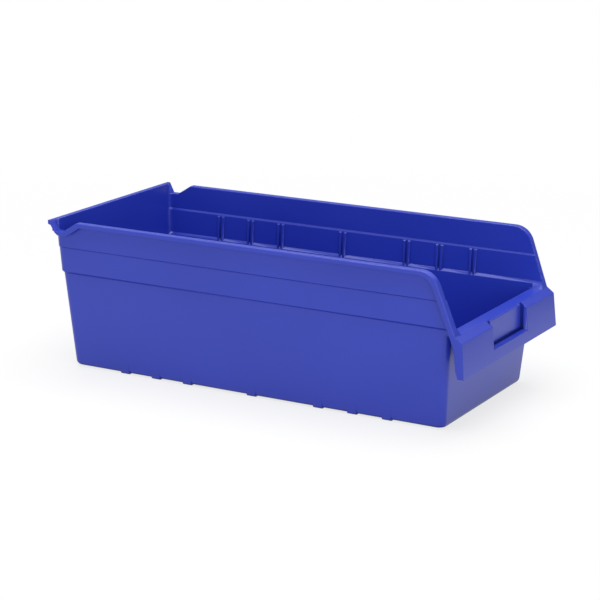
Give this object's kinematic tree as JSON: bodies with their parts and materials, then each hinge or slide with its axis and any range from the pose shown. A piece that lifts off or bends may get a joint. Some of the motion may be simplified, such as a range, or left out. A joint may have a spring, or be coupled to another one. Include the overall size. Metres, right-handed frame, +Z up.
{
  "type": "shelf bin",
  "caption": "Long open-topped shelf bin with a sloping hopper front, stepped drafted walls with divider slots, a label rail across the front and a hooked rear lip.",
  "frame": {"origin": "centre of the footprint, at the level the floor ridges stand on", "axes": "+X across the width, +Y along the length from the label rail to the rear lip, +Z up out of the open top"},
  "size_m": [0.213, 0.454, 0.1524],
  "materials": {
    "bin_plastic": "semi-gloss moulded polypropylene, opaque blue"
  },
  "bodies": {
    "root": {"bin_body": "bin_plastic"}
  },
  "joints": []
}
